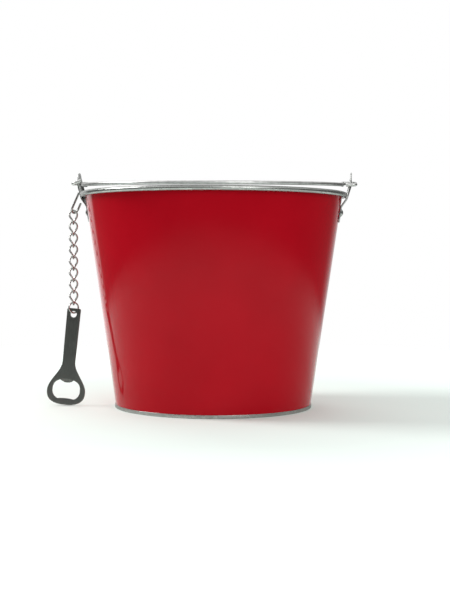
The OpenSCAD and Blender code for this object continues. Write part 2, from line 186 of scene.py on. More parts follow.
class Shader(Nodes):
    """A node material, with short calls for the patterns that the finishes share."""

    def __init__(self, name, **fixed):
        self.material = bpy.data.materials.new(name)
        self.material.use_nodes = True
        super().__init__(self.material.node_tree)
        self.surface = self.nodes["Principled BSDF"]
        for socket, value in fixed.items():
            self.surface.inputs[socket.replace("_", " ")].default_value = value
        self.place = self.nodes.new("ShaderNodeTexCoord").outputs["Object"]
        self.shape = self.nodes.new("ShaderNodeNewGeometry")

    def drive(self, socket, source):
        """Feeds one of the shader's own sockets."""
        self.link(source, self.surface.inputs[socket])

    def stretched(self, squeeze):
        """Object coordinates in metres, scaled along each axis."""
        node = self.nodes.new("ShaderNodeMapping")
        node.inputs["Scale"].default_value = squeeze
        self.link(self.place, node.inputs["Vector"])
        return node.outputs["Vector"]

    def noise(self, size, detail, squeeze=(1, 1, 1)):
        """Noise whose features are about this many millimetres across."""
        node = self.nodes.new("ShaderNodeTexNoise")
        node.inputs["Scale"].default_value = 1 / (size * MM)
        node.inputs["Detail"].default_value = detail
        self.link(self.stretched(squeeze), node.inputs["Vector"])
        return node.outputs["Fac"]

    def crystals(self, size):
        """A shade for each crystal of a zinc coat, of about this many millimetres."""
        node = self.nodes.new("ShaderNodeTexVoronoi")
        node.inputs["Scale"].default_value = 1 / (size * MM)
        self.link(self.stretched((1, 1, 1)), node.inputs["Vector"])
        split = self.nodes.new("ShaderNodeSeparateColor")
        self.link(node.outputs["Color"], split.inputs["Color"])
        return split.outputs["Red"]

    def blend(self, factor, first, second):
        """Mixes two colours, each a socket or three numbers."""
        node = self.nodes.new("ShaderNodeMix")
        node.data_type = "RGBA"
        self.link(factor, node.inputs["Factor"])
        for socket, value in ((node.inputs[6], first), (node.inputs[7], second)):
            if isinstance(value, tuple):
                socket.default_value = (*value, 1)
            else:
                self.link(value, socket)
        return node.outputs[2]

    def worn_edges(self):
        """1 along sharp edges, and 0 on flat faces."""
        return self.span(self.shape.outputs["Pointiness"], 0, 1, EDGE_START, EDGE_END)

    def bump(self, height, depth):
        """Raises the surface by depth millimetres where height is 1."""
        node = self.nodes.new("ShaderNodeBump")
        node.inputs["Strength"].default_value = 1.0
        node.inputs["Distance"].default_value = depth * MM
        self.link(height, node.inputs["Height"])
        self.drive("Normal", node.outputs["Normal"])


def red_enamel():
    """Gloss enamel on sheet steel: an even red with a faint orange peel."""
    s = Shader("red_enamel", IOR=1.45, Specular_IOR_Level=0.14)
    cloud = s.noise(55, 2.0)
    peel = s.noise(1.6, 2.0)
    film = s.blend(s.span(cloud, 0, 1, start=0.35, end=0.65), ENAMEL_DEEP, ENAMEL_LIGHT)
    specks = s.span(s.noise(0.9, 1.0), 0, 0.35, start=0.72, end=0.80)
    s.drive("Base Color", s.blend(specks, film, ENAMEL_SPECK))
    scuffs = s.span(s.noise(7, 5.0, squeeze=(1, 1, 0.25)), 0, 0.05, start=0.55, end=0.75)
    s.drive("Roughness", s.calc("ADD", scuffs, s.span(cloud, 0.08, 0.11)))
    s.bump(peel, depth=0.004)
    return s.material


def zinc(name, light, size, rough):
    """Hot-dipped zinc: crystals that differ in shade and shine, with a soft grain."""
    s = Shader(name, Metallic=1.0, Specular_Tint=ZINC_EDGE_TINT)
    crystal = s.crystals(size)
    grain = s.noise(1.2, 4.0)
    cloud = s.noise(25, 3.0)
    metal = s.blend(s.calc("MULTIPLY", crystal, s.span(grain, 0.6, 1.0)), light, shade(light, 0.80))
    stained = s.blend(s.span(cloud, 0, 0.35, start=0.5, end=0.8), metal, shade(light, 0.62))
    s.drive("Base Color", s.blend(s.worn_edges(), stained, shade(light, 1.15)))
    shine = s.span(crystal, rough - 0.05, rough + 0.06)
    s.drive("Roughness", s.calc("ADD", shine, s.span(grain, -0.04, 0.04)))
    s.bump(s.calc("ADD", grain, s.span(crystal, 0, 0.6)), depth=0.005)
    return s.material


def nickel_wire(name, light, rough, edge_tint):
    """Nickel on steel wire: smooth, with fine draw marks and duller patches."""
    s = Shader(name, Metallic=1.0, Specular_Tint=(edge_tint, edge_tint, edge_tint, 1))
    patch = s.noise(4, 3.0)
    marks = s.noise(0.35, 2.0)
    metal = s.blend(s.span(patch, 0, 1, start=0.35, end=0.7), light, shade(light, 0.75))
    s.drive("Base Color", s.blend(s.worn_edges(), metal, shade(light, 1.15)))
    dulled = s.span(patch, rough - 0.05, rough + 0.07)
    s.drive("Roughness", s.calc("ADD", dulled, s.span(marks, -0.03, 0.05)))
    s.bump(marks, depth=0.003)
    return s.material


def opener_steel():
    """Satin dark-plated steel, brushed along the opener, with edges rubbed brighter."""
    s = Shader("satin_dark_steel", Metallic=1.0, Anisotropic=0.3)
    brushed = s.noise(0.5, 3.0, squeeze=(1, 1, 0.06))
    cloud = s.noise(14, 3.0)
    metal = s.blend(s.span(cloud, 0, 1, start=0.3, end=0.7), STEEL_LIGHT, STEEL_DULL)
    lined = s.blend(s.span(brushed, 0, 0.5, start=0.45, end=0.75), metal, STEEL_LINE)
    s.drive("Base Color", s.blend(s.worn_edges(), lined, STEEL_EDGE))
    s.drive("Roughness", s.calc("ADD", s.span(brushed, 0.30, 0.42), s.span(cloud, -0.03, 0.04)))
    s.bump(brushed, depth=0.008)
    return s.material


def pale_floor():
    """Matt card whose far part glows, as painted light that whitens the far floor, and which thins out to
    nothing at its edge.
    """
    s = Shader("pale_floor", Emission_Color=WHITE, Roughness=0.9, Specular_IOR_Level=0.1)
    tone = s.span(s.noise(180, 2.0), 0, 1, start=0.3, end=0.7)
    away = s.nodes.new("ShaderNodeVectorMath")
    away.operation = "LENGTH"
    s.link(s.place, away.inputs[0])
    reach = away.outputs["Value"]
    # Painted light: the floor glows more the farther it is from the middle, so the far floor turns white.
    s.drive("Emission Strength", s.span(reach, 0, GLOW, start=GLOW_START_R, end=GLOW_END_R))
    s.drive("Alpha", s.span(reach, 1, 0, start=FLOOR_FADE_R, end=FLOOR_R))
    s.drive("Base Color", s.blend(tone, CARD_LIGHT, CARD_DULL))
    return s.material


# ---- Mesh helpers ----

# Points closer than this, in millimetres, are one point.
WELD = 0.0005
SHARP = math.radians(38)
CUT_EDGE = 0.2
# Least divisor at a corner, so that a sharp corner isn't pushed far along its mitre.
MITRE_LIMIT = 0.4
ROUND_BENDS = [math.radians(a) for a in (0, 30, 60, 90)]


def arc(centre, radius, start, end, steps):
    """Points of an arc about a 2-D centre, from one angle to another, in degrees."""
    turns = [math.radians(start + (end - start) * i / steps) for i in range(steps + 1)]
    return [(centre[0] + radius * math.cos(t), centre[1] + radius * math.sin(t)) for t in turns]


def ease(share):
    """Goes smoothly from 0 to 1 as share does."""
    s = min(1.0, max(0.0, share))
    return s * s * (3 - 2 * s)


def make_piece(name, points, faces, body, replaced, materials, shades=None):
    """A closed piece from points in millimetres, standing for CAD nodes and riding on their body."""
    mesh = bpy.data.meshes.new(name)
    mesh.from_pydata([Vector(p) * MM for p in points], [], faces)
    for material in materials:
        mesh.materials.append(material)
    if shades:
        mesh.polygons.foreach_set("material_index", shades)
    build = bmesh.new()
    build.from_mesh(mesh)
    bmesh.ops.remove_doubles(build, verts=build.verts, dist=WELD * MM)
    bmesh.ops.recalc_face_normals(build, faces=build.faces)
    build.to_mesh(mesh)
    build.free()
    mesh.shade_smooth()
    mesh.set_sharp_from_angle(angle=SHARP)
    piece = bpy.data.objects.new(name, mesh)
    bpy.context.scene.collection.objects.link(piece)
    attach(piece, body)
    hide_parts(*replaced)
    return piece


def bands(count, sides, closed):
    """Four-sided faces between each ring of points and the next."""
    faces = []
    for index in range(count if closed else count - 1):
        here, there = index * sides, (index + 1) % count * sides
        for k in range(sides):
            m = (k + 1) % sides
            faces.append((here + k, there + k, there + m, here + m))
    return faces


def lathe(profile, steps):
    """A closed profile of (r, z) points turned about Z."""
    points = []
    for step in range(steps):
        turn = 2 * math.pi * step / steps
        points += [(r * math.cos(turn), r * math.sin(turn), z) for r, z in profile]
    return points, bands(steps, len(profile), True)


def carried_frames(path, first):
    """(along, across, third) at each point of a path, carried along it without twist."""
    frames, across = [], Vector(first)
    for index in range(len(path)):
        along = (path[min(index + 1, len(path) - 1)] - path[max(index - 1, 0)]).normalized()
        across = (across - across.dot(along) * along).normalized()
        frames.append((along, across, along.cross(across)))
    return frames


def ring_of(centre, across, third, radius, sides):
    """Points of a circle about a centre, in the plane of two directions."""
    turns = [2 * math.pi * k / sides for k in range(sides)]
    return [centre + radius * (math.cos(t) * across + math.sin(t) * third) for t in turns]


def joined_rings(rings, closed):
    """A tube through rings of equal count, with flat ends where it is open."""
    sides = len(rings[0])
    points = [point for ring in rings for point in ring]
    faces = bands(len(rings), sides, closed)
    if not closed:
        last = (len(rings) - 1) * sides
        faces += [tuple(range(sides - 1, -1, -1)), tuple(range(last, last + sides))]
    return points, faces


def wire(path, radius, sides, first=(0, 0, 1)):
    """An open wire along a path, its cut ends broken by a small edge."""
    frames = carried_frames(path, first)
    rings = [ring_of(p, f[1], f[2], radius, sides) for p, f in zip(path, frames)]
    for at, way in ((0, -1), (-1, 1)):
        along, across, third = frames[at]
        end = path[at] + way * CUT_EDGE * along
        cap = ring_of(end, across, third, radius - CUT_EDGE, sides)
        rings = [cap, *rings] if at == 0 else [*rings, cap]
    return joined_rings(rings, False)


def in_plane(points, origin, right, up):
    """2-D points placed in a plane."""
    return [origin + x * right + y * up for x, y in points]


def signed_area(loop):
    """Area of a closed loop, above zero where it runs anticlockwise."""
    pairs = zip(loop, loop[1:] + loop[:1])
    return sum(a[0] * b[1] - b[0] * a[1] for a, b in pairs) / 2


def drawn_in(loop, distance, inner):
    """A loop moved into the plate by distance: inwards for the outline, outwards for a hole."""
    side = 1 if (signed_area(loop) > 0) != inner else -1
    moved = []
    for index, point in enumerate(loop):
        before = Vector(loop[index - 1])
        here = Vector(point)
        after = Vector(loop[(index + 1) % len(loop)])
        a, b = (here - before).normalized(), (after - here).normalized()
        normal = Vector((-a.y - b.y, a.x + b.x))
        scale = distance * side / max(MITRE_LIMIT, 1 + a.dot(b))
        moved.append((here.x + normal.x * scale, here.y + normal.y * scale))
    return moved


def inside(point, loop):
    """True if a 2-D point lies in a closed loop."""
    hit = False
    for a, b in zip(loop, loop[1:] + loop[:1]):
        if (a[1] > point[1]) != (b[1] > point[1]):
            if point[0] < (b[0] - a[0]) * (point[1] - a[1]) / (b[1] - a[1]) + a[0]:
                hit = not hit
    return hit


def face_grid(outline, holes, spacing):
    """Triangles that fill an outline round its holes, with extra points so that the face can bend."""
    loops = [outline, *holes]
    points, edges = [], []
    for loop in loops:
        start = len(points)
        points += loop
        edges += [(start + i, start + (i + 1) % len(loop)) for i in range(len(loop))]
    low = [min(p[i] for p in outline) for i in (0, 1)]
    high = [max(p[i] for p in outline) for i in (0, 1)]
    margin = 0.6 * spacing
    clear = [drawn_in(outline, margin, False)] + [drawn_in(h, margin, True) for h in holes]
    rows = int((high[1] - low[1]) / spacing)
    columns = int((high[0] - low[0]) / spacing)
    for row in range(1, rows):
        for column in range(1, columns):
            spot = (low[0] + (column + 0.5 * (row % 2)) * spacing, low[1] + row * spacing)
            if inside(spot, clear[0]) and not any(inside(spot, h) for h in clear[1:]):
                points.append(spot)
    spots, _, triangles, *_ = delaunay_2d_cdt([Vector(p) for p in points], edges, [], 0, 1e-6)
    kept = []
    for triangle in triangles:
        middle = sum((spots[i] for i in triangle), Vector((0, 0))) / 3
        if inside(middle, outline) and not any(inside(middle, h) for h in holes):
            kept.append(tuple(triangle))
    return [tuple(s) for s in spots], kept


def plate(outline, holes, thickness, edge, spacing):
    """A flat plate with rounded edges: points (x, y, depth) about its middle plane, and faces."""
    points, faces = [], []
    inner = [drawn_in(outline, edge, False), *[drawn_in(h, edge, True) for h in holes]]
    spots, triangles = face_grid(inner[0], inner[1:], spacing)
    for side in (1, -1):
        start = len(points)
        points += [(x, y, side * thickness / 2) for x, y in spots]
        faces += [tuple(start + i for i in t) for t in triangles]
    for number, loop in enumerate([outline, *holes]):
        rings = []
        for side in (1, -1):
            for bend in ROUND_BENDS[::side]:
                moved = drawn_in(loop, edge * (1 - math.sin(bend)), number > 0)
                depth = side * (thickness / 2 - edge * (1 - math.cos(bend)))
                rings.append([(x, y, depth) for x, y in moved])
        start = len(points)
        around = len(loop)
        points += [p for ring in rings for p in ring]
        for index in range(len(rings) - 1):
            for k in range(around):
                m = (k + 1) % around
                here, there = start + index * around, start + (index + 1) * around
                faces.append((here + k, here + m, there + m, there + k))
    return points, faces


# ---- Bucket ----

SEAM_HALF = math.radians(2.2)
SEAM_RISE = 0.6
SEAM_STEP = math.radians(0.35)
SEAM_CUTS = 6
SEAM_FADE = 2
WALL_ROWS = 60
WAVER = 0.045
WAVER_FADE = 25


def seam_rise(turn, z):
    """The lock seam at the back: a raised band with soft sides, ending short of rim and hoop."""
    off = abs((turn - math.pi / 2 + math.pi) % (2 * math.pi) - math.pi)
    across = ease((SEAM_HALF - off) / SEAM_STEP)
    foot, top = HOOP_H + 0.5, BEAD_Z - BEAD_R - 0.8
    ends = ease((z - foot) / SEAM_FADE) * ease((top - z) / SEAM_FADE)
    return SEAM_RISE * across * ends


def sheet_waver(turn, z):
    """Rolled sheet is never quite true: slow waves of a few hundredths of a millimetre."""
    fade = ease((z - HOOP_H) / WAVER_FADE) * ease((BEAD_Z - 5 - z) / WAVER_FADE)
    waves = math.sin(5 * turn + 0.020 * z) + 0.6 * math.sin(11 * turn - 0.035 * z + 1.0)
    return WAVER * fade * (waves + 0.5 * math.sin(0.07 * z + 3 * turn))


def wall_turns():
    """Angles round the wall, closer together at the seam."""
    even = [2 * math.pi * i / TURNS for i in range(TURNS)]
    cuts = [SEAM_HALF - SEAM_STEP * i / SEAM_CUTS for i in range(SEAM_CUTS + 1)]
    seam = [math.pi / 2 + side * cut for side in (-1, 1) for cut in cuts]
    kept = [t for t in even if all(abs(t - s) > SEAM_STEP / 8 for s in seam)]
    return sorted(kept + seam)


def make_wall(paint, bare):
    """One rolled sheet, painted outside and bare inside and along its edges."""
    heights = [WALL_FOOT_Z + (WALL_TOP_Z - WALL_FOOT_Z) * i / WALL_ROWS for i in range(WALL_ROWS + 1)]
    turns = wall_turns()
    points = []
    for turn in turns:
        way = Vector((math.cos(turn), math.sin(turn), 0))
        for z in heights:
            points.append(way * (wall_r(z) + seam_rise(turn, z) + sheet_waver(turn, z)) + Vector((0, 0, z)))
        for z in reversed(heights):
            points.append(way * (wall_r(z) - SHEET + sheet_waver(turn, z)) + Vector((0, 0, z)))
    around = 2 * len(heights)
    faces = bands(len(turns), around, True)
    shades = [0 if index % around < WALL_ROWS else 1 for index in range(len(faces))]
    make_piece("wall", points, faces, "bucket", ["bucket_wall"], [paint, bare], shades)


def make_rim(metal):
    """The rolled bead and the lip that it folds over the wall's edge, as one closed section."""
    lip_t, lip_top, lip_foot, corner = 0.4, 1.9, -5.0, 0.45
    face = wall_r(BEAD_Z) - SHEET - FIT - BEAD_X
    foot = wall_r(BEAD_Z + lip_foot) - SHEET - FIT - BEAD_X
    centre = (face + corner, lip_top - lip_t - corner)
    start = 180 - math.degrees(math.asin((lip_top - lip_t) / BEAD_R))
    end = 540 - math.degrees(math.asin(lip_top / BEAD_R))
    bead = arc((0, 0), BEAD_R, start, end, 40)
    over = arc(centre, corner + lip_t, 90, 186, 8)
    edge = arc((foot - lip_t / 2, lip_foot + lip_t / 2), lip_t / 2, 180, 360, 6)
    back = arc(centre, corner, 186, 90, 6)
    section = [(BEAD_X + x, BEAD_Z + z) for x, z in bead + over + edge + back]
    points, faces = lathe(section, TURNS)
    make_piece("rim_bead", points, faces, "bucket", ["rim_hoop", "rim_wire"], [metal])


def make_base(metal, bare):
    """The hoop that closes the bottom edge, and the pan held in it."""
    pan_t, roll, edge, seat = 0.6, 0.5, 0.25, 0.55
    flange = BASE_R - SHEET - roll
    inner, inner_top = flange - pan_t - FIT, 3.4
    hoop = arc((HOOP_R - roll, roll), roll, -90, 0, 8)
    hoop += arc((HOOP_R - edge, HOOP_H - edge), edge, 0, 90, 5)
    hoop += [(HOOP_R - roll, HOOP_H), (HOOP_R - roll, seat), (inner, seat), (inner, inner_top)]
    hoop += arc((inner - edge, 3.25), edge, 0, 180, 6) + arc((inner, roll), roll, 180, 270, 8)
    points, faces = lathe(hoop, TURNS)
    make_piece("base_rim", points, faces, "bucket", ["base_hoop"], [metal])
    floor_z, dish, bend, pan_foot = box("base_pan")[1].z, 1.4, 0.7, 0.62
    low_z = floor_z - dish
    step = [(flange * (0.80 + 0.07 * i / 8), floor_z - dish * ease(i / 8)) for i in range(9)]
    top = [(0, floor_z)] + [(flange * 0.1 * i, floor_z) for i in range(1, 8)] + step
    top += arc((flange - bend, low_z - bend), bend, 90, 0, 5) + [(flange, pan_foot)]
    bent = 7
    under = [(r, z - pan_t) for r, z in top[:-bent]] + [(flange - pan_t, low_z - pan_t)]
    under += [(flange - pan_t, pan_foot)]
    points, faces = lathe(top + under[::-1], TURNS)
    make_piece("bottom_pan", points, faces, "bucket", ["base_pan"], [bare])


# ---- Ears and rivets ----

EAR_HEAD_Z = PIVOT_Z + 2.7
EAR_HEAD_R = EAR_TOP - EAR_HEAD_Z
EAR_HALF = box("ear_right")[1].y
EAR_INNER_R = EAR_OUT_X - EAR_T
BAIL_HOLE_R = 1.85
HOOK_HOLE_R = 1.5
HOOK_HOLE = (5.5, PIVOT_Z - 7.2)
EAR_SHOULDER_Z = BEAD_Z - 3.2
EAR_CORNER = 3.0
EAR_LEAVE_Z = RIM_TOP - 12.3
RIVET_Z = EAR_FOOT + 8.1
RIVET_TURN = math.radians(3.2)


def ear_inner(z):
    """Radius of the ear's inner face at a height, before its bends are rounded."""
    section = [
        (EAR_FOOT - 5, wall_r(EAR_FOOT - 5) + FIT),
        (EAR_LEAVE_Z, wall_r(EAR_LEAVE_Z) + FIT),
        (BEAD_Z - 5.5, BEAD_X - 0.3),
        (BEAD_Z - 4.1, BEAD_X + 0.9),
        (BEAD_Z, RIM_R + 0.2),
        (PIVOT_Z - 2.4, EAR_INNER_R),
        (EAR_TOP + 5, EAR_INNER_R),
    ]
    for (z0, r0), (z1, r1) in zip(section, section[1:]):
        if z <= z1:
            return r0 + (r1 - r0) * (z - z0) / (z1 - z0)
    return section[-1][1]


def ear_middle(z):
    """Radius of the ear's middle plane, with rounded bends."""
    soft, samples = 0.7, 5
    spread = [ear_inner(z + soft * (i / (samples - 1) * 2 - 1)) for i in range(samples)]
    return sum(spread) / samples + EAR_T / 2


def circle(centre, radius, steps=40):
    return arc(centre, radius, 0, 360, steps)[:-1]


def ear_outline():
    """A round head on a foot that widens downwards, seen from outside: across, and up."""
    reach = Vector((EAR_HALF, EAR_SHOULDER_Z - EAR_HEAD_Z))
    touch = math.degrees(math.acos(EAR_HEAD_R / reach.length) + math.atan2(reach.y, reach.x))
    side = [(EAR_HALF, EAR_SHOULDER_Z - 2.4 * i) for i in range(6)]
    corner_x, corner_z = EAR_HALF - EAR_CORNER, EAR_FOOT + EAR_CORNER
    outline = arc((0, EAR_HEAD_Z), EAR_HEAD_R, touch, 180 - touch, 40)
    outline += [(-x, z) for x, z in side]
    outline += arc((-corner_x, corner_z), EAR_CORNER, 180, 270, 8)
    outline += [(-6 + 3 * i, EAR_FOOT) for i in range(5)]
    outline += arc((corner_x, corner_z), EAR_CORNER, 270, 360, 8)
    return outline + side[::-1]


def ear_point(y, z, depth):
    """A plate point bent onto the wall and over the bead, for the ear at +X."""
    radius, near = ear_middle(z), 0.2
    slope = ear_middle(z + near) - ear_middle(z - near)
    flat = math.sqrt(max(0, 1 - (y / radius) ** 2))
    out = Vector((2 * near * flat, 2 * near * y / radius, -slope)).normalized()
    return Vector((math.sqrt(radius**2 - y**2), y, z)) + depth * out


def make_ears(metal):
    holes = [circle((0, PIVOT_Z), BAIL_HOLE_R), circle(HOOK_HOLE, HOOK_HOLE_R, 32)]
    points, faces = plate(ear_outline(), holes, EAR_T, edge=0.28, spacing=1.1)
    right = [ear_point(*p) for p in points]
    for side, turned in (("right", 1), ("left", -1)):
        placed = [Vector((turned * p.x, turned * p.y, p.z)) for p in right]
        make_piece(f"ear_plate_{side}", placed, faces, "bucket", [f"ear_{side}"], [metal])


def rivet_section():
    """A rivet about its own axis: domed head outside, shank, and a flat set end inside."""
    head_r, head_h, seat = 3.3, 1.8, EAR_T + 0.1
    shank_r, set_r, set_edge = 1.5, 2.05, 0.4
    dome_r = (head_r**2 + head_h**2) / (2 * head_h)
    half = math.degrees(math.asin(head_r / dome_r))
    dome = arc((0, seat + head_h - dome_r), dome_r, 90, 90 - half, 14)
    under = -SHEET - 0.06
    end = arc((set_r, under - set_edge), set_edge, 90, -90, 6)
    shank = [(head_r - 0.15, seat), (shank_r, seat), (shank_r, under)]
    return dome + shank + end + [(0, under - 2 * set_edge)]


def make_rivets(metal):
    """Two rivets side by side through each ear's foot and the wall."""
    points, faces = lathe(rivet_section(), 40)
    for side, turn in (("right", 0), ("left", math.pi)):
        placed, joined = [], []
        for place in (-1, 1):
            around = Matrix.Rotation(turn + place * RIVET_TURN, 4, "Z")
            seat = Matrix.Translation((wall_r(RIVET_Z), 0, RIVET_Z))
            tilt = Matrix.Rotation(math.pi / 2 + WALL_LEAN, 4, "Y")
            start = len(placed)
            placed += [around @ seat @ tilt @ Vector(p) for p in points]
            joined += [tuple(start + i for i in f) for f in faces]
        name, node = f"rivet_pair_{side}", f"rivets_{side}"
        make_piece(name, placed, joined, "bucket", [node], [metal])


# ---- Bail ----

BAIL_R = 1.5
BAIL_STEP = 1.6
BAIL_ARC_R = BEAD_X
BAIL_ARC_HALF = 76
SHOULDER_R = 30
LEG_X = (BAIL_ARC_R - SHOULDER_R) * math.sin(math.radians(BAIL_ARC_HALF)) + SHOULDER_R
LEG_Y = -(BAIL_ARC_R - SHOULDER_R) * math.cos(math.radians(BAIL_ARC_HALF))
STEP_BEND_R = 6
STEP_TURN = math.acos(1 - BAIL_STEP / (2 * STEP_BEND_R))
STEP_RUN = 2 * STEP_BEND_R * math.sin(STEP_TURN)
CORNER_R = 3
LOOP_R = 2.4
LOOP_REACH = 11.5
LOOP_X = RIM_R + 4.2
BAIL_GAP = 0.3
TAIL_X = LEG_X + 2 * BAIL_R + BAIL_GAP
BAIL_DROOP = math.asin((PIVOT_Z - RIM_TOP - BAIL_R - BAIL_GAP - BAIL_STEP) / BAIL_ARC_R)


def bail_half(droop, slant):
    """The bail's line from the middle of its arc to its end at +X, with the pivot on the X axis.

    The loop droops about X, and its return slants about Y, by these degrees.
    """
    turn = math.degrees(STEP_TURN)
    line = [Vector((x, y, -BAIL_STEP)) for x, y in arc((0, 0), BAIL_ARC_R, -90, BAIL_ARC_HALF - 90, 70)]
    bend = arc((LEG_X - SHOULDER_R, LEG_Y), SHOULDER_R, BAIL_ARC_HALF - 90, 0, 8)
    line += [Vector((x, y, -BAIL_STEP)) for x, y in bend[1:]]
    rise = arc((-CORNER_R - STEP_RUN, STEP_BEND_R - BAIL_STEP), STEP_BEND_R, -90, turn - 90, 6)
    level = arc((-CORNER_R, -STEP_BEND_R), STEP_BEND_R, turn + 90, 90, 6)
    line += [Vector((LEG_X, y, z)) for y, z in rise + level[1:]]
    corner = arc((LEG_X + CORNER_R, -CORNER_R), CORNER_R, 180, 90, 10)
    line += [Vector((x, y, 0)) for x, y in corner[1:]]
    drop = Matrix.Rotation(math.radians(droop), 3, "X")
    twist = Matrix.Rotation(math.radians(slant), 3, "Y")
    loop_start = arc((LOOP_X, -LOOP_R), LOOP_R, 90, 0, 10)
    line += [drop @ Vector((x, y, 0)) for x, y in loop_start]
    far = Vector((LOOP_X + LOOP_R, LOOP_R - LOOP_REACH, 0))
    back = arc((0, 0), LOOP_R, 0, -90, 10)
    line += [drop @ (far + twist @ Vector((x - LOOP_R, y, 0))) for x, y in back]
    line.append(drop @ (far + twist @ Vector((TAIL_X - far.x, -LOOP_R, 0))))
    return line


def make_bail(metal):
    right = bail_half(droop=7, slant=0)
    left = [Vector((-p.x, p.y, p.z)) for p in bail_half(droop=1, slant=18)]
    lean = Matrix.Translation((0, 0, PIVOT_Z)) @ Matrix.Rotation(BAIL_DROOP, 4, "X")
    path = [lean @ p for p in left[:0:-1] + right]
    points, faces = wire(path, BAIL_R, 24)
    make_piece("wire_bail", points, faces, "bail", ["bail_handle"], [metal])


# ---- Chain ----

HOOK_R = 0.9
HOOK_BEND_R = 1.8
HOOK_OPEN = 64
HOOK_LEAN = math.radians(24)
HOOK_BODY = 13.7
EYE_R = 4.15
EYE_TURN = math.radians(64)
EYE_TAIL = 6
LINK_R = 0.8
LINK_HALF_W = 3.8
LINKS = 8
LINK_PLAY = 0.2
ACROSS = -axis("link_1_swing")
FACING = axis("link_2_swing")
UPWARD = ACROSS.cross(FACING).normalized()
CHAIN_TURN = math.radians(10)
LINK_PITCH = (box("chain_link_1")[0].z - box(f"chain_link_{LINKS}")[0].z) / (LINKS - 1) / UPWARD.z
LINK_HALF_L = (LINK_PITCH + 2 * LINK_R + LINK_PLAY) / 2


def middle(node):
    """Middle of a CAD node's box, in millimetres."""
    low, high = box(node)
    return (low + high) / 2


def make_hook(metal):
    """Top bend through the ear, a straight body, and an eye turned to face along the ear."""
    start = pivot("hook_swing")
    turned = 180 - math.degrees(HOOK_LEAN)
    curve = arc((0, 0), HOOK_BEND_R, HOOK_OPEN, turned, 14)
    bend = in_plane(curve, start, Vector((1, 0, 0)), Vector((0, 0, 1)))
    lean = Matrix.Rotation(HOOK_LEAN, 3, "Y")
    spread = lean @ Matrix.Rotation(EYE_TURN, 3, "Z")
    top = start + lean @ Vector((-HOOK_BEND_R, 0, 0))
    foot = top + lean @ Vector((0, 0, -HOOK_BODY))
    right, up = spread @ Vector((1, 0, 0)), spread @ Vector((0, 0, 1))
    eye = in_plane(arc((EYE_R, 0), EYE_R, 180, 360, 20), foot, right, up)
    path = bend + [top.lerp(foot, i / 5) for i in range(1, 5)] + eye
    path += [eye[-1] + up * EYE_TAIL * i / 3 for i in range(1, 4)]
    points, faces = wire(path, HOOK_R, 20, (0, 1, 0))
    make_piece("ear_hook", points, faces, "hook", ["chain_hook"], [metal])


def twisted(across, along, turn):
    """A point of a flat link, whose plane turns by a quarter from its top to its bottom."""
    twist = math.pi / 2 * ease((1 - math.sin(turn)) / 2)
    return Vector((across * math.cos(twist), across * math.sin(twist), along))


def link_point(turn):
    """Middle line of a curb link, an oval."""
    return twisted(LINK_HALF_W * math.cos(turn), LINK_HALF_L * math.sin(turn), turn)


def link_outward(turn):
    """Direction out of the oval, before it is squared to the wire."""
    return twisted(LINK_HALF_L * math.cos(turn), LINK_HALF_W * math.sin(turn), turn)


def curb_link():
    rings, count, sides, near = [], 72, 18, 0.01
    for index in range(count):
        turn = 2 * math.pi * index / count
        along = (link_point(turn + near) - link_point(turn - near)).normalized()
        outward = link_outward(turn)
        across = (outward - outward.dot(along) * along).normalized()
        rings.append(ring_of(link_point(turn), across, along.cross(across), LINK_R, sides))
    return joined_rings(rings, True)


def make_links(metal):
    points, faces = curb_link()
    square = Matrix((ACROSS, FACING, UPWARD)).transposed()
    for number in range(1, LINKS + 1):
        name, node = f"curb_link_{number}", f"chain_link_{number}"
        centre = middle(node)
        placed = [centre + square @ Vector(p) for p in points]
        make_piece(name, placed, faces, f"link_{number}", [node], [metal])


RING_R = 0.7
RING_MID_R = 4.5


def make_ring(metal):
    along = -axis("opener_swing")
    normal = along.cross(UPWARD)
    centre = middle("opener_ring")
    rings = []
    for point in in_plane(circle((0, 0), RING_MID_R, 64), centre, along, UPWARD):
        rings.append(ring_of(point, (point - centre).normalized(), normal, RING_R, 18))
    points, faces = joined_rings(rings, True)
    make_piece("round_ring", points, faces, "ring", ["opener_ring"], [metal])


# ---- Bottle opener ----

OPENER_L = 84.2
OPENER_T = 1.6
OPENER_LEAN = math.radians(5)
HOLE_R = 2.7
HOLE_DOWN = 5.3
HOLE_BELOW_RING = 1.2
SHANK_TOP_HALF = 6.0
SHANK_HALF = 5.6
SHANK_END = 47.0
HEAD_MID = 72.5
HEAD_HALF = 16.8
BOWL_POWER = 0.78
OPENING_HALF = HEAD_HALF - 4.7
OPENING_MID = 71.2
TAB_HALF = 5.6
TAB_REACH = 65.0
TAB_R = 8.5
TAB_PRESS = 0.7
OPENER_CORNER = 1.6
OPENER_EDGE = 0.35


def opener_half(down):
    """Half-width of the opener's shank and shoulders at a distance below its top edge."""
    if down < SHANK_END:
        return SHANK_TOP_HALF + (SHANK_HALF - SHANK_TOP_HALF) * down / SHANK_END
    return SHANK_HALF + (HEAD_HALF - SHANK_HALF) * ease((down - SHANK_END) / (HEAD_MID - SHANK_END))


def opener_outline():
    """The opener's whole edge: across, and up from the middle of its top edge."""
    flare, bowl = 30, 34
    side = [(opener_half(d), -d) for d in range(4, int(SHANK_END), 3)]
    downs = [SHANK_END + (HEAD_MID - SHANK_END) * i / flare for i in range(flare + 1)]
    side += [(opener_half(d), -d) for d in downs]
    for i in range(1, bowl):
        turn = math.pi / 2 * i / bowl
        across, along = math.cos(turn) ** BOWL_POWER, math.sin(turn) ** BOWL_POWER
        side.append((HEAD_HALF * across, -HEAD_MID - (OPENER_L - HEAD_MID) * along))
    left = [(-x, y) for x, y in reversed(side)]
    corner_x = SHANK_TOP_HALF - OPENER_CORNER
    start = arc((corner_x, -OPENER_CORNER), OPENER_CORNER, 90, 0, 6)
    finish = arc((-corner_x, -OPENER_CORNER), OPENER_CORNER, 180, 90, 6)
    return start + side + [(0, -OPENER_L)] + left + finish


